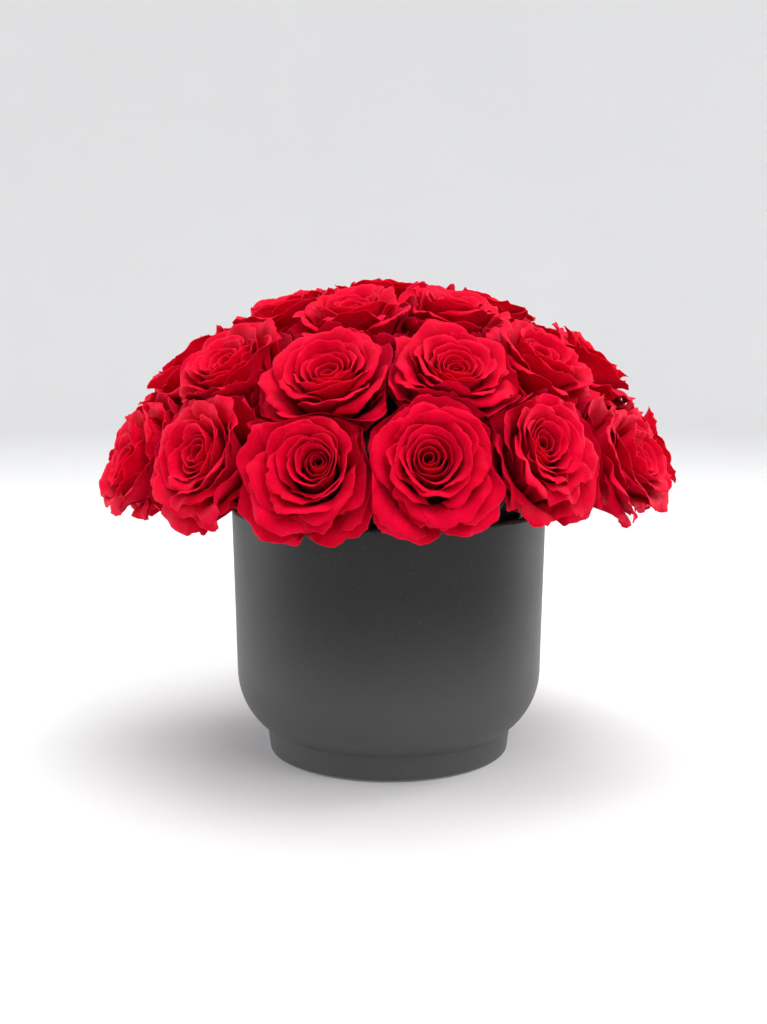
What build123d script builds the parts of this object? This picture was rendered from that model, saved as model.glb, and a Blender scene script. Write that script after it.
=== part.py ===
from build123d import *

import os
from math import asin, cos, degrees, pi, radians, sin, tan

# A round ceramic pot on a low foot, packed with dry floral foam that holds a dome of preserved
# roses. Millimetres, +Z up. The origin is on the pot's axis, at the level the foot stands on.
# The front is -Y. The pot is one body; the foam and the roses in it lift out as the other.

os.makedirs("parts", exist_ok=True)

# ---------------------------------------------------------------- pot
pot_h = 127.0  # floor to rim
rim_r = 80.5  # outside of the rim
wall_taper = 1.15  # degrees that the wall leans in on its way down
wall_t = 5.0
bend_z = 42.0  # height where the straight wall ends and the rounded corner begins
bend_r = 37.0  # outside radius of that corner
foot_h = 14.0
foot_step = 1.2  # how far the foot stands in from the end of the corner
foot_taper = 7.0  # degrees that the foot leans in on its way down
foot_ring_t = 9.0  # width of the ring that touches the table
recess_h = 6.0  # depth of the hollow inside the foot ring
floor_t = 7.0
lip_round = 2.0
foot_round = 1.2

# ---------------------------------------------------------------- foam
foam_clearance = 0.5  # between the foam and the pot, all round
foam_below_rim = 5.0  # the cut block ends this far below the rim
foam_rim_room = 3.5  # between the foam dome and the inside of the rim
foam_shoulder_h = 20.0  # straight side of the foam dome, below its curve

# ---------------------------------------------------------------- roses
overhang = 61.5  # how far the surface that the roses' faces lie on stands out past the rim
dome_h = 110.0  # height of that surface above its centre
dome_lift = 3.0  # its centre, above the rim
bloom_d = 47.0  # firm part of a bloom
bloom_depth = 42.0  # face to calyx
bloom_base_r = 8.0
bloom_shoulder = 8.0  # widest place, below the face
bloom_crown = 3.0  # heart of the bloom, above its face
bloom_round = 6.0  # round edge between the cup and the face
petal_room = 12.0  # between neighbours in a row, for their loose outer petals
row_room = 8.0  # between one row and the next
row_turn = (0.70, 0.5, 0.35)  # turn of each row from the front, as shares of its rose spacing

calyx_h = 9.0
stub_r = 3.6  # cut end of the natural stem
neck_room = 5.0  # free pick between the top calyx and the foam

pick_d = 3.0
pick_l = 44.0
pick_point = 6.0
pick_socket = 5.0  # how far the pick is pushed into the stem
pick_clearance = 0.05

# ---------------------------------------------------------------- worked out
wall_lean = radians(wall_taper)
bend_top_r = rim_r - (pot_h - bend_z) * tan(wall_lean)
bend_centre = (bend_top_r - bend_r * cos(wall_lean), bend_z + bend_r * sin(wall_lean))
floor_z = recess_h + floor_t
foam_base_top = pot_h - foam_below_rim
foam_dome_r = rim_r - wall_t - foam_rim_room
dome_r = rim_r + overhang
dome_z = pot_h + dome_lift
foam_top = dome_z + dome_h - bloom_depth - calyx_h - neck_room
pick_start = bloom_depth + calyx_h - pick_socket


def bend_outline(inset, end_z):
    """Wall and rounded corner, moved in by inset, from above the rim down to the height end_z."""
    radius = bend_r - inset
    sweep = degrees(asin((bend_centre[1] - end_z) / radius)) - wall_taper
    corner_top = (bend_centre[0] + radius * cos(wall_lean), bend_centre[1] - radius * sin(wall_lean))
    wall = PolarLine(corner_top, pot_h, angle=90 - wall_taper)
    corner = JernArc(wall @ 0, tangent=-(wall % 0), radius=radius, arc_size=-sweep)
    return wall @ 1, corner @ 1


def plug(inset, bottom, top):
    """Round plug with the pot's outside shape moved in by inset, cut level at bottom and top."""
    with BuildPart() as body:
        with BuildSketch(Plane.XZ):
            with BuildLine():
                wall_end, corner_end = bend_outline(inset, bottom)
                Polyline(corner_end, (0, bottom), (0, wall_end.Y), wall_end)
            make_face()
            with Locations((0, top)):
                Rectangle(4 * rim_r, 4 * pot_h, align=(Align.CENTER, Align.MIN), mode=Mode.SUBTRACT)
        revolve(axis=Axis.Z)
    return body.part


def pick_shape(extra):
    """Wooden pick with a point, or the hole it makes when extra is its clearance; face at z=0."""
    radius = pick_d / 2 + extra
    shank_end = -pick_start - pick_l + pick_point
    with BuildPart() as shape:
        with BuildSketch(Plane.XZ):
            with BuildLine():
                Polyline(
                    (0, -pick_start + extra),
                    (radius, -pick_start + extra),
                    (radius, shank_end),
                    (0, shank_end - pick_point - extra),
                    close=True,
                )
            make_face()
        revolve(axis=Axis.Z)
    return shape.part


def write(piece, name):
    piece.part.label = name
    export_step(piece.part, f"parts/{name}.step")


# ---------------------------------------------------------------- where the roses stand
with BuildLine(Plane.XZ) as dome_outline:
    EllipticalCenterArc((0, dome_z), dome_r, dome_h, arc_size=90)
dome_arc = dome_outline.edge()


def face_plane(from_top, azimuth):
    """Face of the rose that sits from_top along the dome's outline; azimuth 0 is the front."""
    place = dome_arc.length - from_top
    spot = dome_arc.position_at(place, position_mode=PositionMode.LENGTH)
    uphill = dome_arc.tangent_at(place, position_mode=PositionMode.LENGTH)
    outward = uphill.cross(Vector(0, 1, 0)) * -1
    return Plane(Rotation(0, 0, azimuth - 90) * Plane(spot, x_dir=-uphill, z_dir=outward).location)


row_pitch = bloom_d + row_room
rose_pitch = bloom_d + petal_room
rows = {"top": [face_plane(0, 0)]}
for row in range(int(dome_arc.length / row_pitch)):
    from_top = (row + 1) * row_pitch
    row_r = dome_arc.position_at(dome_arc.length - from_top, position_mode=PositionMode.LENGTH).X
    count = round(2 * pi * row_r / rose_pitch)
    turn = row_turn[row % len(row_turn)]
    rows[f"row{row + 1}"] = [
        face_plane(from_top, 360 / count * (rose + turn)) for rose in range(count)
    ]
all_faces = [face for faces in rows.values() for face in faces]

# ---------------------------------------------------------------- pot
outside = plug(0, foot_h, pot_h)
inside = plug(wall_t, floor_z, 2 * pot_h)

with BuildPart() as pot:
    add(outside)
    corner_end_r = pot.edges().group_by(Axis.Z)[0][0].radius
    with BuildSketch(Plane.XY.offset(foot_h)):
        Circle(corner_end_r - foot_step)
    extrude(amount=-foot_h, taper=foot_taper)
    table_r = pot.edges().group_by(Axis.Z)[0][0].radius
    with BuildSketch():
        Circle(table_r - foot_ring_t)
    extrude(amount=recess_h, mode=Mode.SUBTRACT)
    fillet(pot.edges().group_by(Axis.Z)[0], radius=foot_round)
    add(inside, mode=Mode.SUBTRACT)
    fillet(pot.edges().group_by(Axis.Z)[-1], radius=lip_round)
write(pot, "pot")

# ---------------------------------------------------------------- foam
pick_hole = pick_shape(pick_clearance)
foam_plug = plug(wall_t + foam_clearance, floor_z + foam_clearance, foam_base_top)

with BuildPart() as foam_base:
    add(foam_plug)
    with Locations(*all_faces):
        add(pick_hole, mode=Mode.SUBTRACT)
write(foam_base, "foam_base")

with BuildPart() as foam_dome:
    with BuildSketch(Plane.XZ):
        with BuildLine():
            side = Line((foam_dome_r, foam_base_top), (foam_dome_r, foam_base_top + foam_shoulder_h))
            curve = EllipticalCenterArc(
                (0, (side @ 1).Y), foam_dome_r, foam_top - (side @ 1).Y, arc_size=90
            )
            Polyline(curve @ 1, (0, foam_base_top), side @ 0)
        make_face()
    revolve(axis=Axis.Z)
    with Locations(*all_faces):
        add(pick_hole, mode=Mode.SUBTRACT)
write(foam_dome, "foam_dome")

# ---------------------------------------------------------------- one rose, face at z=0, facing +Z
with BuildPart() as bloom:
    with BuildSketch(Plane.XZ):
        with BuildLine():
            cup = TangentArc(
                (bloom_d / 2, -bloom_shoulder), (bloom_base_r, -bloom_depth), tangent=(0, -1)
            )
            crown = TangentArc((0, bloom_crown), cup @ 0, tangent=(1, 0))
            Polyline(cup @ 1, (0, -bloom_depth), crown @ 0)
        make_face()
    revolve(axis=Axis.Z)
    fillet(bloom.edges().sort_by(Edge.length)[-1], radius=bloom_round)

with BuildPart() as calyx:
    with BuildSketch(Plane.XZ):
        with BuildLine():
            top = Line((0, -bloom_depth), (bloom_base_r, -bloom_depth))
            hip = TangentArc(top @ 1, (stub_r, -bloom_depth - calyx_h), tangent=(0, -1))
            Polyline(hip @ 1, (0, -bloom_depth - calyx_h), top @ 0)
        make_face()
    revolve(axis=Axis.Z)
    add(pick_hole, mode=Mode.SUBTRACT)

pick = pick_shape(0)

# ---------------------------------------------------------------- roses in their rows
for row, faces in rows.items():
    for number, face in enumerate(faces, start=1):
        with BuildPart() as rose:
            with Locations(face):
                add(bloom)
        write(rose, f"rose_{row}_{number:02d}" if len(faces) > 1 else f"rose_{row}")

    with BuildPart() as calyxes:
        with Locations(*faces):
            add(calyx)
    write(calyxes, f"calyxes_{row}")

    with BuildPart() as picks:
        with Locations(*faces):
            add(pick)
    write(picks, f"picks_{row}")
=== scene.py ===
from math import pi, radians

import bpy
import numpy as np
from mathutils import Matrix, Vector


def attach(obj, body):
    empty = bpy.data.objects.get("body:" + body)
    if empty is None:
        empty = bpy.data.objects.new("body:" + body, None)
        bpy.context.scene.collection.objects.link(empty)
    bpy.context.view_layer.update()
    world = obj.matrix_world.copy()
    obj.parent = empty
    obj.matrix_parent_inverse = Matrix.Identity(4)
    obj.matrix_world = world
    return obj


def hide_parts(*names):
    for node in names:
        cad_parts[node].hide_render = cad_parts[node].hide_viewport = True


# A dome of preserved red roses on picks, in dry foam, in a round footed ceramic pot. Metres.
# The front is -Y. A rose is made in its own frame in millimetres (face at z=0, facing +Z, +X
# downhill on the dome) and then placed on the axis of its CAD solid.

MM = 0.001
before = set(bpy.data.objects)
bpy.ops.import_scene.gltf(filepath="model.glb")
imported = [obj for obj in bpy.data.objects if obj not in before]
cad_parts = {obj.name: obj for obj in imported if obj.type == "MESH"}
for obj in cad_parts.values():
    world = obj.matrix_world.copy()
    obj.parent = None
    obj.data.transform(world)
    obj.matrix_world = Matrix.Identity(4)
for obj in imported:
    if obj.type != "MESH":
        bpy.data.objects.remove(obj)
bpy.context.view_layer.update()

# ---------------------------------------------------------------- driving values
CROWN = 3.0  # mm that a CAD bloom's heart stands above its face
CALYX_TOP = -42.0  # mm from the face to where the petals leave the hip
ROSE_SEED = 4100
CALYX_SEED = ROSE_SEED + 500
PETALS = 27
GUARD_PETALS = 10  # large soft petals behind the face that fill the room up to the neighbours
GOLDEN_TURN = radians(137.5)  # from one petal to the next
PETAL_T = 0.42  # mm thick at the base, half of it at the edge
LONGEST_REACH = 42.0  # mm from the axis that no petal is made to pass
SEPAL_T = 0.5  # mm
SEPALS = 5

# how neighbouring roses share the room between them
NEIGHBOUR_REACH = 0.080  # metres: faces nearer than this press on each other
TOUCH = 0.25  # mm from a petal to the surface halfway to the next rose
SQUEEZE = 4.0  # mm before that surface where a petal starts to give way
OVERLAP = 4.5  # mm that a petal would reach past that surface if it were free
BOUNDARY_WAVE = 2.2  # mm that the surface between two roses sways either way
WAVE_STEP = 6.5  # mm along it for one radian of that sway
BOUNDARY_LEAN = 0.45  # most that it leans over one of the two, mm per mm of height
LEAN_FROM = 6.0  # mm below the faces, where that lean starts
LEAN_RANGE = 12.0  # mm of height either way over which it goes on
OPEN_FROM = 36.0  # mm: a side whose nearest boundary is further off than this counts as open
OPEN_ROOM = 24.0  # mm from the heart to where a petal ends on an open side
LIFT_SHARE = 0.3  # mm that a pressed petal also rises, per mm that it is too far out
LIFT_MOST = 8.0  # mm too far out after which it rises no more
DROOP_FROM = 13.0  # mm below the heart of a bottom rose where its petals start to hang
DROOP_LONGER = 0.08  # share that they grow longer from there
DROOP_SAG = 0.010  # mm that they sag there, times the distance squared

# How a petal changes with its place in the rose, which is 0 at the heart, 1 at the edge of the
# face and up to 1.3 in the guard petals: (place, value) pairs. Lengths in mm, angles in degrees.
RIM_Z = ((0, -6), (0.2, -3), (0.45, 1.0), (0.65, 1.0), (0.85, -2.5), (1, -8), (1.3, -17))
RIM_LEAN = ((0, -8), (0.2, 6), (0.45, 26), (0.7, 54), (0.85, 70), (1, 86), (1.3, 96))
BASE_LEAN = ((0, 18), (0.5, 45), (1, 68), (1.3, 74))
HALF_WIDTH = ((0, 150), (0.2, 122), (0.4, 92), (0.6, 72), (0.8, 60), (1, 50), (1.3, 44))
WINDING = ((0, 0.16), (0.3, 0.10), (1, 0.05))  # share that one side lies outside the other
SHOULDER_DROP = ((0, 0.08), (0.3, 0.18), (1, 0.36))  # share of its height
UNEVEN = ((0, 0.006), (1, 0.022))  # share of its height
POINT = ((0, 0), (0.4, 0.012), (1, 0.06))  # share of its height
TEETH = ((0, 0.003), (0.4, 0.009), (1, 0.028))  # share of its height
LIP_WIDTH = ((0, 1.0), (0.3, 3.0), (0.6, 5.0), (1, 7.0))
LIP_BEND = ((0, 0.02), (0.2, 0.08), (0.5, 0.13), (1, 0.15))  # radians per mm
RUFFLE = ((0, 0.05), (0.3, 0.35), (1, 1.5))
CRINKLE = ((0, 0.04), (1, 0.36))
DENTS = ((0, 0.12), (1, 0.8))
GRID_COLUMNS = ((0, 28), (0.5, 33), (1, 35))
GRID_LEVELS = ((0, 11), (0.5, 14), (1, 16))

# Turned shapes, as (radius, height) in mm up the axis
HEART_CORE = [(0, -41), (5, -40.5), (8.5, -34), (8.8, -28), (7, -21), (3.5, -15), (0, -12)]
HIP = [
    (0, -5), (1.6, -5.1), (1.6, -9), (3.5, -8.9), (3.9, -8), (5.2, -6.6),
    (7, -4.5), (7.9, -2), (7.2, -0.4), (4, 0), (0, 0),
]

# The roses seen from the front do not sit exactly on their rows: (downhill, to the right) in mm.
LEAN = {
    "rose_row3_14": (2.5, 1), "rose_row3_01": (-1, -1), "rose_row3_02": (-6, -4),
    "rose_row3_13": (-1, 2), "rose_row3_12": (4, 0), "rose_row3_03": (3, 0),
    "rose_row3_11": (5, 0), "rose_row3_04": (4, 0), "rose_row2_11": (4, 1),
    "rose_row2_01": (2, 0), "rose_row2_02": (-3, -3), "rose_row2_10": (0, 0),
    "rose_row1_06": (4, 0), "rose_row1_01": (-1, -6), "rose_top": (-2, 1),
}
CHANCE_LEAN = 1.2  # mm, standard deviation for the other roses
# and some of their hearts are off centre in the flower
HEART = {
    "rose_row3_14": (-5, 7), "rose_row3_01": (-3, -3), "rose_row3_02": (-3, -4),
    "rose_row3_13": (-2, 4), "rose_row3_12": (3, 2), "rose_row2_11": (2, 2),
    "rose_row2_01": (1, 1), "rose_row2_02": (-2, -2),
}

CAMERA_PLACE = (-0.0027, -0.665, 0.2185)
CAMERA_DOWN = 8.15  # degrees that it looks down
CAMERA_LENS = 45.7  # mm on a 36 mm wide sensor
FLOOR_R = 2.2  # metres of level floor, which then bends up into a round wall
FLOOR_BEND = 0.9  # radius of that bend
WALL_TOP = 3.2
FLOOR_SEGMENTS = 96


# ---------------------------------------------------------------- small tools
def table(x, pairs):
    """Piecewise linear value at x through (x, value) pairs."""
    xs, ys = zip(*pairs)
    return np.interp(x, xs, ys)


def smooth(x):
    """Soft step from 0 to 1 as x goes from 0 to 1."""
    x = np.clip(x, 0, 1)
    return x * x * (3 - 2 * x)


def waves(rng, x, lowest, highest, count):
    """Smooth noise along x: a few sines of random frequency and phase, about -1 to 1."""
    total = np.zeros_like(x)
    for _ in range(count):
        total += np.sin(2 * pi * rng.uniform(lowest, highest) * x + rng.uniform(0, 2 * pi))
    return total / np.sqrt(count)


def unit(v):
    return v / np.linalg.norm(v, axis=-1, keepdims=True)


def row_of(name):
    """The row in the name of a rose, such as row2 in rose_row2_05."""
    return name.split("_")[1]


rose_nodes = sorted(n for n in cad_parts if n.startswith("rose_"))
rose_rows = sorted({row_of(n) for n in rose_nodes})


def mesh_arrays(name):
    """Vertices (N, 3) and triangles (M, 3) of a CAD node."""
    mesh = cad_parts[name].data
    mesh.calc_loop_triangles()
    co = np.zeros(len(mesh.vertices) * 3, np.float32)
    mesh.vertices.foreach_get("co", co)
    tri = np.zeros(len(mesh.loop_triangles) * 3, np.int32)
    mesh.loop_triangles.foreach_get("vertices", tri)
    return co.reshape(-1, 3).astype(float), tri.reshape(-1, 3)


def surface_centres(name, near):
    """Area centre of the triangles nearest to each of the points near."""
    co, tri = mesh_arrays(name)
    corners = co[tri]
    centre = corners.mean(1)
    spans = corners[:, 1:] - corners[:, :1]
    area = np.linalg.norm(np.cross(spans[:, 0], spans[:, 1]), axis=1)
    owner = np.argmin(np.linalg.norm(centre[:, None] - near[None], axis=2), axis=1)
    shares = [owner == k for k in range(len(near))]
    return np.array([np.average(centre[own], axis=0, weights=area[own]) for own in shares])


def make_object(name, verts, quads, attributes=None, material=None, tris=np.zeros((0, 3), int)):
    """Smooth mesh from (N, 3) metres, its four- and three-cornered faces, and point attributes."""
    mesh = bpy.data.meshes.new(name)
    mesh.vertices.add(len(verts))
    mesh.vertices.foreach_set("co", np.asarray(verts, np.float32).ravel())
    corners = np.concatenate([quads.ravel(), tris.ravel()])
    quad_starts = np.arange(0, quads.size, 4)
    tri_starts = quads.size + np.arange(0, tris.size, 3)
    starts = np.concatenate([quad_starts, tri_starts])
    mesh.loops.add(len(corners))
    mesh.loops.foreach_set("vertex_index", corners.astype(np.int32))
    mesh.polygons.add(len(starts))
    mesh.polygons.foreach_set("loop_start", starts.astype(np.int32))
    mesh.polygons.foreach_set("use_smooth", np.ones(len(starts), bool))
    mesh.update(calc_edges=True)
    for key, values in (attributes or {}).items():
        kind, field = ("FLOAT", "value") if values.ndim == 1 else ("FLOAT_VECTOR", "vector")
        layer = mesh.attributes.new(key, kind, "POINT")
        layer.data.foreach_set(field, np.asarray(values, np.float32).ravel())
    piece = bpy.data.objects.new(name, mesh)
    bpy.context.scene.collection.objects.link(piece)
    if material:
        mesh.materials.append(material)
    return piece


def ring_points(radii, heights, segments):
    """(len(radii), segments, 3) points on level circles round the axis."""
    turns = np.linspace(0, 2 * pi, segments + 1)[:-1]
    flat = np.broadcast_to(heights[:, None], (len(heights), segments))
    return np.stack([radii * np.cos(turns), radii * np.sin(turns), flat], axis=-1)


def ring_indices(rings, segments):
    """Number of every point of ring_points, and of the one after it in its circle."""
    index = np.arange(rings * segments).reshape(rings, segments)
    return index, np.roll(index, -1, axis=1)


# ---------------------------------------------------------------- where each rose stands
def rose_axes():
    """Face centre and outward axis of every rose, from its bloom and calyx solids."""
    found = {}
    for row in rose_rows:
        names = [n for n in rose_nodes if row_of(n) == row]
        blooms = np.array([surface_centres(n, np.zeros((1, 3)))[0] for n in names])
        calyxes = surface_centres(f"calyxes_{row}", blooms)
        for name, bloom, calyx in zip(names, blooms, calyxes):
            axis = unit(bloom - calyx)
            top = ((mesh_arrays(name)[0] - bloom) @ axis).max()
            found[name] = (bloom + axis * (top - CROWN * MM), axis)
    return found


def rose_basis(axis):
    """Columns: +X downhill, +Y level, +Z along the axis. Downhill of the top rose is the front."""
    upright = axis[2] >= 0.999
    down = np.array([0, -1.0, 0]) if upright else np.array([0, 0, -1.0])
    x = unit(down - axis * (down @ axis))
    return np.stack([x, np.cross(axis, x), axis], axis=1)


solid_places = rose_axes()
leans = {}
places = {}
for number, name in enumerate(rose_nodes):
    chance = np.random.default_rng(ROSE_SEED - 1 - number).normal(0, CHANCE_LEAN, 2)
    leans[name] = np.array(LEAN.get(name, chance), float)
    face, axis = solid_places[name]
    places[name] = (face + rose_basis(axis)[:, :2] @ leans[name] * MM, axis)


def boundaries(name):
    """Surface between this rose and each neighbour: a point, its normal, two ways along it, the
    phases of its lean and sway, and the side of it this rose is on. Both roses get the same."""
    face, axis = places[name]
    found = []
    for other, (other_face, other_axis) in places.items():
        gap = other_face - face
        if other == name or np.linalg.norm(gap) > NEIGHBOUR_REACH:
            continue
        shared = unit(axis + other_axis)
        normal = unit(gap - shared * (gap @ shared))
        pair = sorted((rose_nodes.index(name), rose_nodes.index(other)))
        phases = np.random.default_rng(pair[0] * 97 + pair[1]).uniform(0, 2 * pi, 2)
        side = 1.0 if pair[0] == rose_nodes.index(name) else -1.0
        level = np.cross(shared, normal) * side
        found.append(((face + other_face) / 2, normal, shared, level, phases, side))
    return found


def past_boundary(points, boundary):
    """How far points are past the surface halfway to a neighbour, in mm."""
    middle, normal, shared, level, phases, side = boundary
    from_middle = (points - middle) / MM
    height = np.clip(from_middle @ shared + LEAN_FROM, -LEAN_RANGE, LEAN_RANGE)
    lean = BOUNDARY_LEAN * np.sin(phases[0]) * height
    wave = BOUNDARY_WAVE * np.sin(from_middle @ level / WAVE_STEP + phases[1])
    return from_middle @ normal - side * (lean + wave)


def room_towards(name, angle):
    """How far in mm a petal may go from the heart that way, before OVERLAP is added."""
    face, axis = places[name]
    way = rose_basis(axis) @ np.array([np.cos(angle), np.sin(angle), 0])
    distances = [OPEN_FROM]
    for middle, normal, *_ in boundaries(name):
        if way @ normal > 0.1:
            distances.append((middle - face) @ normal / (way @ normal) / MM)
    if min(distances) < OPEN_FROM:
        return min(distances)
    return OPEN_ROOM / max(abs(np.cos(angle)), 0.70) - OVERLAP


# ---------------------------------------------------------------- petals
def meridian(s, base, rim, base_lean, rim_lean):
    """Cubic curve from base to rim, both (radius, height); a lean is an angle from the axis."""
    base, rim = np.asarray(base), np.asarray(rim)
    pull = 0.36 * np.linalg.norm(rim - base)
    p1 = base + pull * np.array([np.sin(base_lean), np.cos(base_lean)])
    p2 = rim - pull * np.array([np.sin(rim_lean), np.cos(rim_lean)])
    s = s[..., None]
    return (1 - s) ** 3 * base + 3 * s * (1 - s) ** 2 * p1 + 3 * s * s * (1 - s) * p2 + s**3 * rim


def petal_outline(rng, t, u):
    """How far up each column of a petal goes: round shoulders, a slight point, teeth and nicks."""
    drop = table(t, SHOULDER_DROP) * rng.uniform(0.8, 1.2)
    reach = 1 - drop * np.abs(u - rng.normal(0, 0.06)) ** rng.uniform(2.6, 4.2)
    reach += table(t, UNEVEN) * waves(rng, u, 0.5, 1.6, 3)
    reach += table(t, POINT) * rng.uniform(0, 1) * np.exp(-np.abs(u / 0.13) ** 1.4)
    teeth = np.abs(waves(rng, u, 6, 13, 4)) * np.abs(waves(rng, u, 1, 3, 2))
    reach -= teeth * table(t, TEETH)
    for _ in range(rng.integers(0, 4) if t > 0.3 else 0):
        nick = rng.uniform(-0.85, 0.85)
        reach -= rng.uniform(0.015, 0.06) * np.exp(-np.abs(u - nick) / rng.uniform(0.015, 0.04))
    return reach


def roll_lip(rng, t, grid, u, edge, to_top):
    """Rolls a petal's lip back: its last few mm before the edge follow an arc."""
    out = surface_normal(grid)
    up = unit(np.gradient(grid, axis=0))
    side = unit(np.gradient(grid, axis=1))
    outward = unit(up * to_top + side * np.sign(u)[..., None] * (1 - to_top))
    lip = table(t, LIP_WIDTH) * rng.uniform(0.8, 1.2)
    bend = table(t, LIP_BEND) * rng.uniform(0.2, 1.5)
    shoulders = 0.55 + 0.6 * smooth(np.abs(u) * 1.8)
    bend = bend * shoulders * np.maximum(0.8 + 0.5 * waves(rng, u, 0.4, 1.3, 2), 0.05) + 1e-4
    past = np.maximum(lip - edge, 0)
    swing = bend * past
    grid = grid - outward * (past - np.sin(swing) / bend)[..., None]
    return grid + out * ((1 - np.cos(swing)) / bend)[..., None], out


def petal_grid(rng, t, turn, style, room):
    """One petal's middle surface (V, U, 3) in mm, its edge distance and its own coordinates.

    t is its place in the rose, from 0 at the heart to 1.3 in the last guard petal."""
    columns = int(table(t, GRID_COLUMNS))
    levels = int(table(t, GRID_LEVELS))
    u = np.sin(np.linspace(-1, 1, columns) * pi / 2 * 0.9) / np.sin(pi / 2 * 0.9)
    v = 1 - (1 - np.linspace(0, 1, levels)) ** 1.3
    u, v = np.meshgrid(u, v)

    rim_r = style["size"] * (1.8 + 18.5 * t + 13.5 * t * t) * rng.uniform(0.96, 1.04)
    rim_r = min(rim_r, room + OVERLAP, LONGEST_REACH)
    rim_z = table(t, RIM_Z) + rng.normal(0, 1.1)
    rim_lean = table(t, RIM_LEAN)
    rim_lean = radians(rim_lean * style["open"] + rng.normal(0, 6) * smooth(t * 3))
    base = np.array([2.5 + 3.0 * t, -24 - 12.5 * t**0.7])
    base_lean = radians(table(t, BASE_LEAN))
    half = radians(table(t, HALF_WIDTH)) * rng.uniform(0.9, 1.12)
    reach = petal_outline(rng, t, u)

    s = v * reach
    curve = meridian(s, base, (rim_r, rim_z), base_lean, rim_lean)
    length = np.linalg.norm(np.array([rim_r, rim_z]) - base) * 1.12
    radius = curve[..., 0] * (1 + table(t, WINDING) * u * v)
    angle = turn + u * half * (0.80 + 0.20 * v)
    grid = np.stack([radius * np.cos(angle), radius * np.sin(angle), curve[..., 1]], axis=-1)

    # distance to the nearest edge, rounded where the side meets the top
    across = (1 - np.abs(u)) * half * np.maximum(radius, 1.0)
    along = (1 - v) * reach * length
    blend = 1.2
    near_side = np.exp(-across / blend)
    near_top = np.exp(-along / blend)
    edge = np.maximum(-blend * np.log(near_side + near_top), 0)
    to_top = (near_top / (near_top + near_side))[..., None]
    grid, out = roll_lip(rng, t, grid, u, edge, to_top)

    ruffle = table(t, RUFFLE) * waves(rng, u, 0.7, 2.4, 3) * np.exp(-edge / 5)
    crinkle = table(t, CRINKLE) * waves(rng, u + 0.15 * v, 3, 8, 4) * np.exp(-edge / 2.4)
    dents = table(t, DENTS) * waves(rng, u, 0.3, 0.9, 2) * waves(rng, v, 0.4, 1.0, 2) * v
    grid = grid + out * (ruffle + crinkle + dents)[..., None]
    grid[..., 2] += rng.normal(0, 0.035) * smooth(t * 2.5) * u * v * rim_r
    sample = np.full_like(u, rng.uniform(0, 50))
    coords = np.stack([u * half * rim_r, s * length, sample], axis=-1)
    return grid, edge, coords


def surface_normal(grid):
    """Unit normal of a (V, U, 3) grid, on the side away from the rose's axis."""
    along = np.gradient(grid, axis=0)
    across = np.gradient(grid, axis=1)
    return unit(np.cross(across, along) + 1e-9)


def sheet_to_solid(grid, thickness):
    """Two skins either side of the grid, joined round the edge: vertices and quads."""
    levels, columns = grid.shape[:2]
    out = surface_normal(grid) * (thickness / 2)[..., None]
    verts = np.concatenate([(grid + out).reshape(-1, 3), (grid - out).reshape(-1, 3)])
    index = np.arange(levels * columns).reshape(levels, columns)
    corners = [index[:-1, :-1], index[:-1, 1:], index[1:, 1:], index[1:, :-1]]
    front = np.stack(corners, -1).reshape(-1, 4)
    back = front[:, ::-1] + levels * columns
    loop = np.concatenate([index[0, :-1], index[:-1, -1], index[-1, :0:-1], index[:0:-1, 0]])
    after = np.roll(loop, -1)
    rim = np.stack([after, loop, loop + levels * columns, after + levels * columns], -1)
    return verts, np.concatenate([front, back, rim])


def rose_style(rng, name):
    """What makes one rose differ from the next."""
    style = {
        "size": rng.uniform(1.0, 1.08),
        "open": rng.uniform(0.85, 1.12),
        "oval": rng.uniform(0.93, 1.0),
        "oval_turn": rng.uniform(0, pi),
        "heart": rng.normal(0, 1.2, 2),
        "turn": rng.uniform(0, 2 * pi),
    }
    style["heart"] = np.array(HEART.get(name, style["heart"]), float)
    return style


def turned(profile, segments, ribs=0.0):
    """Closed turned shape from (radius, height) pairs running up the axis, pole to pole.

    Where it is more than 3 mm from the axis it gets ten ribs, as a share of its radius."""
    radii, heights = np.array(profile[1:-1]).T
    turns = np.linspace(0, 2 * pi, segments + 1)[:-1]
    ribbed = radii[:, None] * (1 + ribs * np.cos(turns * 10) * (radii[:, None] > 3))
    rings = ring_points(ribbed, heights, segments)
    poles = [(0, 0, profile[0][1]), (0, 0, profile[-1][1])]
    index, nxt = ring_indices(len(radii), segments)
    quads = np.stack([index[:-1], nxt[:-1], nxt[1:], index[1:]], -1).reshape(-1, 4)
    bottom = np.stack([np.full(segments, index.size), nxt[0], index[0]], -1)
    top = np.stack([np.full(segments, index.size + 1), index[-1], nxt[-1]], -1)
    return np.concatenate([rings.reshape(-1, 3), poles]), quads, np.concatenate([bottom, top])


def too_far(points, boundary):
    """How far in mm points have to go back, so that they all stay TOUCH short of a boundary."""
    room = SQUEEZE - TOUCH
    past = past_boundary(points, boundary) + SQUEEZE
    return np.maximum(past - room * (1 - np.exp(-np.maximum(past, 0) / room)), 0) * (past > 0)


def press_together(points, name):
    """Bends a rose's petals back from the surfaces halfway to its neighbours."""
    axis = places[name][1]
    for boundary in boundaries(name):
        lift = LIFT_SHARE * np.minimum(too_far(points, boundary), LIFT_MOST)
        points = points + axis * (lift * MM)[:, None]
        points = points - boundary[1] * (too_far(points, boundary) * MM)[:, None]
    return points


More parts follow.
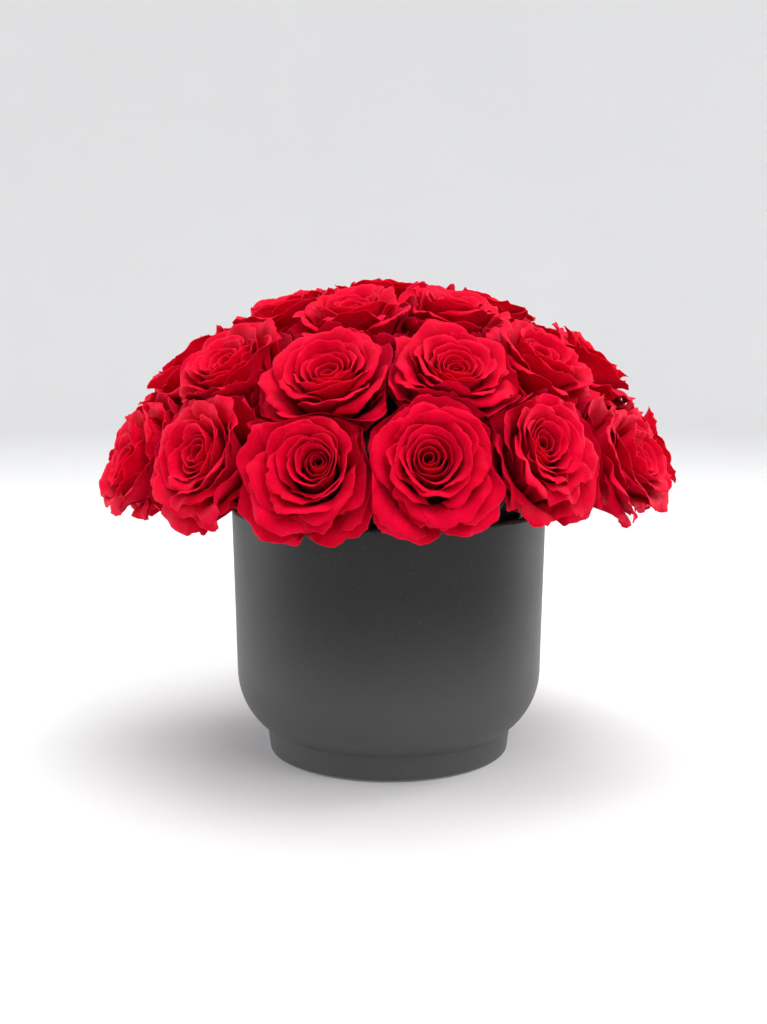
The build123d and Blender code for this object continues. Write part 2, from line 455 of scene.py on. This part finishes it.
def build_rose(name, number):
    """The petals of one rose, round the solid core that the inner ones grow from."""
    rng = np.random.default_rng(ROSE_SEED + number)
    style = rose_style(rng, name)
    core, core_quads, core_tris = turned(HEART_CORE, 24)
    verts = [core]
    faces = [core_quads]
    edge = [np.full(len(core), 9.0)]
    layer = [np.zeros(len(core))]
    tone = [np.full(len(core), -1.0)]
    weave = [core]
    count = len(core)
    layers = list(np.linspace(0, 1, PETALS)) + list(np.linspace(1.1, 1.3, GUARD_PETALS))
    for k, t in enumerate(layers):
        turn = style["turn"] + k * GOLDEN_TURN + rng.normal(0, 0.13)
        grid, edge_mm, coords = petal_grid(rng, t, turn, style, room_towards(name, turn))
        heart_share = smooth(1 - t / 1.1) * smooth((grid[..., 2:] + 32) / 30)
        grid[..., :2] += style["heart"] * heart_share
        thickness = PETAL_T * (0.5 + 0.5 * smooth(edge_mm / 4))
        points, quads = sheet_to_solid(grid, thickness)
        verts.append(points)
        faces.append(quads + count)
        count += len(points)
        edge.append(np.tile(edge_mm.ravel(), 2))
        layer.append(np.full(len(points), t))
        tone.append(np.full(len(points), rng.uniform(-1, 1)))
        weave.append(np.tile(coords.reshape(-1, 3), (2, 1)))
    verts = np.concatenate(verts)
    c, s = np.cos(style["oval_turn"]), np.sin(style["oval_turn"])
    squash = np.array([[c, -s], [s, c]]) @ np.diag([1, style["oval"]]) @ np.array([[c, s], [-s, c]])
    verts[:, :2] = verts[:, :2] @ squash.T
    if row_of(name) == "row3":
        hang = np.maximum(verts[:, 0] - DROOP_FROM, 0)
        verts[:, 0] += DROOP_LONGER * hang
        verts[:, 2] -= DROOP_SAG * hang**2
    verts[:, :2] += leans[name] * smooth((verts[:, 2:] + 38) / 34)
    face, axis = solid_places[name]
    world = face + (verts * MM) @ rose_basis(axis).T
    world = press_together(world, name)
    attributes = {
        "edge": np.concatenate(edge),
        "layer": np.concatenate(layer),
        "tone": np.concatenate(tone),
        "weave": np.concatenate(weave),
    }
    quads = np.concatenate(faces)
    piece = make_object(f"petals_{name[5:]}", world, quads, attributes, petal_material, core_tris)
    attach(piece, "arrangement")
    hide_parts(name)


# ---------------------------------------------------------------- hips and sepals
def sepal_grid(rng, side_turn, v, u):
    """One narrow sepal that starts at the hip and bends back; (V, U, 3) mm, hip's top at z=0."""
    length = rng.uniform(12, 15.5)
    width = 3.4 * np.sin(pi * np.clip(0.25 + 0.75 * v, 0, 1)) ** 0.8 + 0.25
    curl = rng.uniform(0.5, 0.9)
    lean = 1.35 + curl * v**1.5
    radius = 6.0 + length * v * np.sin(lean) * 0.9
    height = 0.2 + length * v * np.cos(lean) - 0.10 * width * u**2
    side = side_turn + rng.normal(0, 0.06)
    across = width * u * (1 + 0.12 * np.sin(9 * v + 2 * u))
    x = radius * np.cos(side) - across * np.sin(side)
    y = radius * np.sin(side) + across * np.cos(side)
    return np.stack([x, y, height], axis=-1)


def build_calyxes(row):
    """The ribbed hip, stem end and bent-back sepals under every rose of one row."""
    rng = np.random.default_rng(CALYX_SEED + len(row))
    hip_verts, hip_quads, hip_tris = turned(HIP, 40, 0.03)
    verts, faces, tris = [], [], []
    count = 0
    v, u = np.meshgrid(np.linspace(0, 1, 15), np.linspace(-1, 1, 9), indexing="ij")
    for name in [n for n in rose_nodes if row_of(n) == row]:
        face, axis = solid_places[name]
        parts = [(hip_verts, hip_quads)]
        tris.append(hip_tris + count)
        turn = rng.uniform(0, 2 * pi)
        for k in range(SEPALS):
            grid = sepal_grid(rng, turn + k * 2 * pi / SEPALS, v, u)
            parts.append(sheet_to_solid(grid, np.full(v.shape, SEPAL_T)))
        for points, quads in parts:
            place = points + np.array([0, 0, CALYX_TOP])
            verts.append(face + (place * MM) @ rose_basis(axis).T)
            faces.append(quads + count)
            count += len(points)
    piece = make_object(f"sepals_{row}", np.concatenate(verts), np.concatenate(faces),
                        material=calyx_material, tris=np.concatenate(tris))
    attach(piece, "arrangement")
    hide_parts(f"calyxes_{row}")


# ---------------------------------------------------------------- materials
class Nodes:
    """Short way to write a material's node tree."""

    def __init__(self, name):
        self.material = bpy.data.materials.new(name)
        self.material.use_nodes = True
        self.tree = self.material.node_tree
        self.shader = self.tree.nodes["Principled BSDF"]

    def add(self, kind, **settings):
        node = self.tree.nodes.new(kind)
        for key, value in settings.items():
            setattr(node, key, value)
        return node

    def link(self, source, target):
        self.tree.links.new(source, target)

    def attribute(self, name):
        return self.add("ShaderNodeAttribute", attribute_name=name)

    def place(self):
        return self.add("ShaderNodeTexCoord").outputs["Object"]

    def split(self, vector):
        """X, Y and Z of a vector."""
        node = self.add("ShaderNodeSeparateXYZ")
        self.link(vector, node.inputs[0])
        return node.outputs

    def noise(self, vector, scale, detail=4.0, rough=0.55):
        node = self.add("ShaderNodeTexNoise")
        node.inputs["Scale"].default_value = scale
        node.inputs["Detail"].default_value = detail
        node.inputs["Roughness"].default_value = rough
        self.link(vector, node.inputs["Vector"])
        return node.outputs["Fac"]

    def stretch(self, vector, scale):
        node = self.add("ShaderNodeMapping")
        node.inputs["Scale"].default_value = scale
        self.link(vector, node.inputs["Vector"])
        return node.outputs["Vector"]

    def ramp(self, value, low, high, out_low=0.0, out_high=1.0):
        """Smooth step from out_low to out_high as value goes from low to high."""
        node = self.add("ShaderNodeMapRange", interpolation_type="SMOOTHSTEP")
        for k, number in enumerate((low, high, out_low, out_high), start=1):
            node.inputs[k].default_value = number
        self.link(value, node.inputs[0])
        return node.outputs[0]

    def math(self, how, a, b):
        node = self.add("ShaderNodeMath", operation=how)
        for k, value in enumerate((a, b)):
            if isinstance(value, float):
                node.inputs[k].default_value = value
            else:
                self.link(value, node.inputs[k])
        return node.outputs[0]

    def mix(self, share, a, b):
        """Colour between a and b; each is a link or an (r, g, b)."""
        node = self.add("ShaderNodeMix", data_type="RGBA", blend_type="MIX")
        self.link(share, node.inputs[0])
        for socket, value in ((node.inputs[6], a), (node.inputs[7], b)):
            if isinstance(value, tuple):
                socket.default_value = (*value, 1)
            else:
                self.link(value, socket)
        return node.outputs[2]

    def bump(self, height, distance, strength, under=None):
        """Relief of one height texture, on top of the relief under it."""
        node = self.add("ShaderNodeBump")
        node.inputs["Strength"].default_value = strength
        node.inputs["Distance"].default_value = distance
        self.link(height, node.inputs["Height"])
        if under:
            self.link(under, node.inputs["Normal"])
        return node.outputs["Normal"]

    def dress(self, **links):
        """Links to the shader's sockets; Base_Color stands for the socket Base Color."""
        for key, source in links.items():
            self.link(source, self.shader.inputs[key.replace("_", " ")])


def make_petal_material():
    """Deep red petals with fine veins, painted shade towards the base and the heart, and lips paled
    by a painted highlight and wear.
    """
    n = Nodes("rose petals")
    weave = n.attribute("weave").outputs["Vector"]
    edge = n.attribute("edge").outputs["Fac"]
    layer = n.attribute("layer").outputs["Fac"]
    tone = n.attribute("tone").outputs["Fac"]
    up_petal = n.split(weave)[1]
    veins = n.noise(n.stretch(weave, (1.6, 0.12, 1)), 1.0, 3)
    blotch = n.noise(n.stretch(weave, (0.10, 0.10, 1)), 1.0, 3)
    grain = n.noise(n.stretch(weave, (3.5, 3.5, 1)), 1.0, 2)
    colour = n.mix(n.ramp(blotch, 0.3, 0.7), (0.62, 0.0, 0.018), (0.79, 0.0004, 0.032))
    # painted shade: the petals turn darker towards their base, deep inside the rose, partly their
    # own deeper red there
    painted_base_shade = (0.30, 0.0, 0.006)
    colour = n.mix(n.ramp(up_petal, 6.0, 28.0, 0.75, 0.0), colour, painted_base_shade)
    vein_red = (0.50, 0.0, 0.010)
    colour = n.mix(n.ramp(veins, 0.45, 0.75, 0, 0.35), colour, vein_red)
    petal_to_petal = (0.52, 0.0, 0.016)
    colour = n.mix(n.ramp(tone, -1, 1, 0.0, 0.28), colour, petal_to_petal)
    # painted shade in the heart of the rose: the inner petals darker
    painted_heart_shade = (0.45, 0.0, 0.008)
    colour = n.mix(n.ramp(layer, 0.0, 0.35, 0.30, 0.0), colour, painted_heart_shade)
    # painted highlight along the petal lips, broken up by grain, partly the paler colour of worn
    # edges
    lip_highlight_and_wear = (0.80, 0.03, 0.05)
    lip = n.math("MULTIPLY", n.ramp(edge, 0.0, 0.5, 1.0, 0.0), n.ramp(grain, 0.45, 0.7, 0.0, 0.4))
    colour = n.mix(lip, colour, lip_highlight_and_wear)
    relief = n.bump(veins, 0.0006, 0.5)
    relief = n.bump(grain, 0.0002, 0.4, relief)
    n.dress(Base_Color=colour, Roughness=n.ramp(grain, 0.3, 0.7, 0.58, 0.74), Normal=relief)
    n.shader.inputs["Specular IOR Level"].default_value = 0.12
    n.shader.inputs["Specular Tint"].default_value = (1.0, 0.22, 0.35, 1)
    n.shader.inputs["Sheen Weight"].default_value = 0.18
    n.shader.inputs["Sheen Roughness"].default_value = 0.45
    n.shader.inputs["Sheen Tint"].default_value = (1.0, 0.04, 0.15, 1)
    n.shader.inputs["Subsurface Weight"].default_value = 0.10
    n.shader.inputs["Subsurface Radius"].default_value = (1.0, 0.06, 0.08)
    n.shader.inputs["Subsurface Scale"].default_value = 0.002
    return n.material


def make_ceramic_material():
    """Matt charcoal glaze, paler low on the pot from painted floor bounce light and a thinner
    glaze, with bare clay where the foot ring stands.
    """
    n = Nodes("matt ceramic")
    place = n.place()
    height = n.split(place)[2]
    cloud = n.noise(place, 18.0, 4)
    speck = n.noise(place, 900.0, 3, 0.6)
    colour = n.mix(n.ramp(cloud, 0.3, 0.7), (0.0125, 0.0122, 0.0124), (0.0170, 0.0167, 0.0169))
    pale_speck = (0.09, 0.088, 0.085)
    colour = n.mix(n.ramp(speck, 0.62, 0.75, 0, 0.5), colour, pale_speck)
    # painted light from the floor's bounce: the glaze paler towards the foot, partly a thinner
    # glaze there
    floor_bounce_and_thin_glaze = (0.078, 0.076, 0.077)
    colour = n.mix(n.ramp(height, 0.008, 0.10, 0.95, 0.0), colour, floor_bounce_and_thin_glaze)
    bare_clay = (0.36, 0.33, 0.29)
    bare = n.math("MULTIPLY", n.ramp(height, 0.0006, 0.0013, 1.0, 0.0), 0.85)
    colour = n.mix(bare, colour, bare_clay)
    rough = n.math("ADD", n.ramp(cloud, 0.3, 0.7, 0.40, 0.47), n.ramp(speck, 0.4, 0.7, 0.0, 0.05))
    relief = n.bump(speck, 0.00015, 0.25)
    relief = n.bump(cloud, 0.0015, 0.12, relief)
    n.dress(Base_Color=colour, Roughness=rough, Normal=relief)
    n.shader.inputs["Specular IOR Level"].default_value = 0.28
    return n.material


def make_foam_material():
    """Near-black dry foam with fine cells."""
    n = Nodes("dry floral foam")
    place = n.place()
    cells = n.add("ShaderNodeTexVoronoi", feature="DISTANCE_TO_EDGE")
    cells.inputs["Scale"].default_value = 1400.0
    n.link(place, cells.inputs["Vector"])
    crumbs = n.noise(place, 260.0, 5, 0.65)
    colour = n.mix(n.ramp(crumbs, 0.35, 0.65), (0.004, 0.0045, 0.004), (0.014, 0.015, 0.013))
    relief = n.bump(cells.outputs["Distance"], 0.0005, 0.8)
    relief = n.bump(crumbs, 0.0012, 0.6, relief)
    n.dress(Base_Color=colour, Normal=relief)
    n.shader.inputs["Roughness"].default_value = 0.95
    n.shader.inputs["Specular IOR Level"].default_value = 0.1
    return n.material


def make_calyx_material():
    """Dark dried green with brown fibres."""
    n = Nodes("rose calyx")
    place = n.place()
    cloud = n.noise(place, 160.0, 4)
    fibre = n.noise(place, 900.0, 3)
    colour = n.mix(n.ramp(cloud, 0.3, 0.7), (0.010, 0.012, 0.006), (0.020, 0.022, 0.011))
    brown = (0.045, 0.024, 0.012)
    colour = n.mix(n.ramp(fibre, 0.5, 0.75, 0, 0.5), colour, brown)
    n.dress(Base_Color=colour, Normal=n.bump(fibre, 0.0004, 0.5))
    n.shader.inputs["Roughness"].default_value = 0.7
    return n.material


def make_wood_material():
    """Pale wood with its grain along the pick."""
    n = Nodes("wooden pick")
    grain = n.noise(n.stretch(n.place(), (1, 1, 0.25)), 1500.0, 4)
    colour = n.mix(n.ramp(grain, 0.35, 0.65), (0.46, 0.31, 0.16), (0.60, 0.44, 0.26))
    n.dress(Base_Color=colour, Normal=n.bump(grain, 0.0002, 0.5))
    n.shader.inputs["Roughness"].default_value = 0.65
    return n.material


def refinish(node, material):
    """Gives a CAD node that is shown as it is its material."""
    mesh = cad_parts[node].data
    mesh.materials.clear()
    mesh.materials.append(material)


petal_material = make_petal_material()
ceramic_material = make_ceramic_material()
foam_material = make_foam_material()
calyx_material = make_calyx_material()
wood_material = make_wood_material()

refinish("pot", ceramic_material)
for node in ("foam_base", "foam_dome"):
    refinish(node, foam_material)
for row in rose_rows:
    refinish(f"picks_{row}", wood_material)

for number, name in enumerate(rose_nodes):
    build_rose(name, number)
for row in rose_rows:
    build_calyxes(row)


# ---------------------------------------------------------------- camera, floor and light
def add_camera():
    """Camera at the photo's place and angle."""
    lens = bpy.data.cameras.new("camera")
    lens.sensor_width = 36.0
    lens.lens = CAMERA_LENS
    lens.clip_start = 0.01
    camera = bpy.data.objects.new("camera", lens)
    bpy.context.scene.collection.objects.link(camera)
    camera.location = CAMERA_PLACE
    camera.rotation_euler = (radians(90 - CAMERA_DOWN), 0, 0)
    bpy.context.scene.camera = camera


def add_area(name, place, aim, size, power, colour=(1, 1, 1)):
    """Rectangular lamp at place that shines towards aim; size in metres, power in watts."""
    lamp = bpy.data.lights.new(name, "AREA")
    lamp.shape = "RECTANGLE"
    lamp.size, lamp.size_y = size
    lamp.energy = power
    lamp.color = colour
    light = bpy.data.objects.new(name, lamp)
    bpy.context.scene.collection.objects.link(light)
    light.location = place
    light.rotation_euler = (Vector(aim) - Vector(place)).to_track_quat("-Z", "Y").to_euler()


def add_floor():
    """Pale round floor that bends up into a wall on every side."""
    n = Nodes("floor")
    colour = n.mix(n.noise(n.place(), 3.0, 3), (0.72, 0.72, 0.72), (0.75, 0.75, 0.75))
    n.dress(Base_Color=colour)
    n.shader.inputs["Roughness"].default_value = 0.8
    outline = [(0.3, 0.0), (0.8, 0.0), (1.4, 0.0)]
    for a in np.linspace(0, pi / 2, 13):
        outline.append((FLOOR_R + FLOOR_BEND * np.sin(a), FLOOR_BEND - FLOOR_BEND * np.cos(a)))
    outline += [(FLOOR_R + FLOOR_BEND, 2.0), (FLOOR_R + FLOOR_BEND, WALL_TOP)]
    radii, heights = np.array(outline).T
    rings = ring_points(radii[:, None], heights, FLOOR_SEGMENTS)
    index, nxt = ring_indices(len(radii), FLOOR_SEGMENTS)
    quads = np.stack([index[:-1], index[1:], nxt[1:], nxt[:-1]], -1).reshape(-1, 4)
    middle = np.stack([np.full(FLOOR_SEGMENTS, index.size), index[0], nxt[0]], -1)
    verts = np.concatenate([rings.reshape(-1, 3), [(0, 0, 0)]])
    make_object("floor", verts, quads, material=n.material, tris=middle)


def add_light():
    """Even pale surroundings and four soft lamps."""
    world = bpy.data.worlds.new("studio")
    world.use_nodes = True
    background = world.node_tree.nodes["Background"]
    background.inputs["Color"].default_value = (0.93, 0.95, 1.0, 1)
    background.inputs["Strength"].default_value = 0.38
    bpy.context.scene.world = world
    bpy.context.scene.view_settings.view_transform = "Standard"
    add_area("overhead", (0, 0.1, 2.9), (0, 0, 0), (2.6, 2.6), 75)
    add_area("key", (0.75, -0.95, 1.55), (0, 0, 0.17), (1.2, 1.0), 19)
    add_area("left", (-1.35, 0.2, 0.32), (0, 0, 0.07), (0.9, 0.9), 11, (0.93, 0.95, 1.0))
    add_area("right edge", (1.1, 0.5, 0.5), (0, 0, 0.08), (0.5, 1.0), 7)


add_camera()
add_floor()
add_light()
